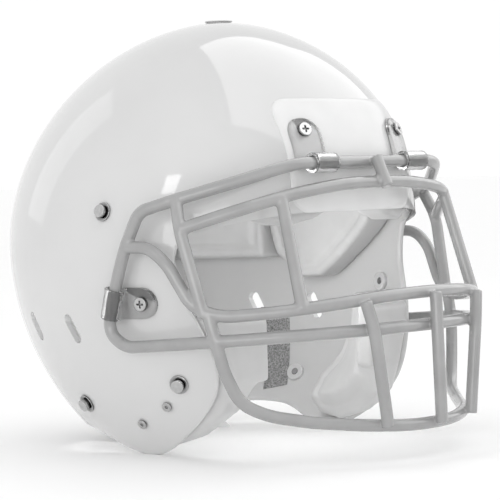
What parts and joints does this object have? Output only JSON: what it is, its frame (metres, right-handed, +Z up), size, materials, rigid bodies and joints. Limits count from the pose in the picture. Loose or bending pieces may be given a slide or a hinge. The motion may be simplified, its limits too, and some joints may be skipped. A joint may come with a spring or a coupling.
{
  "type": "american football helmet",
  "caption": "American football helmet: a glossy moulded shell with liner pads, chin-strap studs and a welded wire face mask that swings up about its forehead loops.",
  "frame": {"origin": "on the ground plane, on the symmetry plane, below the middle of the helmet's length with its mask", "axes": "+Z up, the face opening looks along -Y, the wearer's right is -X; the helmet stands on its jaw flaps and neck edge"},
  "size_m": [0.2718, 0.3286, 0.2734],
  "materials": {
    "bumper_rubber_white": "smooth white",
    "clear_strap": "clear moulded strap",
    "jaw_pad_cover": "soft vinyl cover over foam",
    "liner_pad": "soft vinyl cover over foam",
    "mask_coating": "light grey vinyl-dipped steel bar",
    "nut_steel": "plain",
    "rivet_metal": "plain",
    "screw_steel": "bright",
    "shell_plastic": "gloss white moulded polycarbonate",
    "snap_plastic": "black",
    "stud_chrome": "polished",
    "valve_rubber": "smooth white"
  },
  "bodies": {
    "shell_body": {"air_valve": "valve_rubber", "back_pad": "liner_pad", "chin_strap_studs": "stud_chrome", "clip_nuts": "nut_steel", "crown_pad": "liner_pad", "forehead_clip_left": "clear_strap", "forehead_clip_right": "clear_strap", "forehead_clip_screws": "screw_steel", "front_bumper": "bumper_rubber_white", "front_pad": "liner_pad", "jaw_pad_rivets": "rivet_metal", "jaw_pad_snaps": "snap_plastic", "neck_pad": "liner_pad", "rear_bumper": "bumper_rubber_white", "rear_side_pad_left": "liner_pad", "rear_side_pad_right": "liner_pad", "rear_upper_pad": "liner_pad", "shell": "shell_plastic", "side_clip_left": "clear_strap", "side_clip_right": "clear_strap", "side_clip_screws": "screw_steel", "side_pad_left": "liner_pad", "side_pad_right": "liner_pad", "stud_nuts": "nut_steel", "upper_pad_left": "liner_pad", "upper_pad_right": "liner_pad"},
    "face_mask": {"mask_brow_bar": "mask_coating", "mask_brow_strut": "mask_coating", "mask_centre_upright": "mask_coating", "mask_chin_bar": "mask_coating", "mask_inner_upright_left": "mask_coating", "mask_inner_upright_right": "mask_coating", "mask_jaw_bar_left": "mask_coating", "mask_jaw_bar_right": "mask_coating", "mask_lower_bar": "mask_coating", "mask_lower_upright_left": "mask_coating", "mask_lower_upright_right": "mask_coating", "mask_outer_upright_left": "mask_coating", "mask_outer_upright_right": "mask_coating", "mask_side_bar_left": "mask_coating", "mask_side_bar_right": "mask_coating", "mask_top_bar": "mask_coating", "mask_upper_bar": "mask_coating"},
    "jaw_pad_right_body": {"jaw_pad_right": "jaw_pad_cover"},
    "jaw_pad_left_body": {"jaw_pad_left": "jaw_pad_cover"}
  },
  "joints": [
    {"name": "face_mask_swing", "type": "hinge", "parent": "shell_body", "child": "face_mask", "pos_m": [0, -0.1092, 0.1785], "axis": [-1, 0, 0], "range_deg": [0, 85], "deforming": ["side_clip_left", "side_clip_right"]},
    {"name": "jaw_pad_right_unsnap", "type": "slide", "parent": "shell_body", "child": "jaw_pad_right_body", "axis": [1, 0, 0], "range_m": [0, 0.006]},
    {"name": "jaw_pad_left_unsnap", "type": "slide", "parent": "shell_body", "child": "jaw_pad_left_body", "axis": [-1, 0, 0], "range_m": [0, 0.006]}
  ]
}
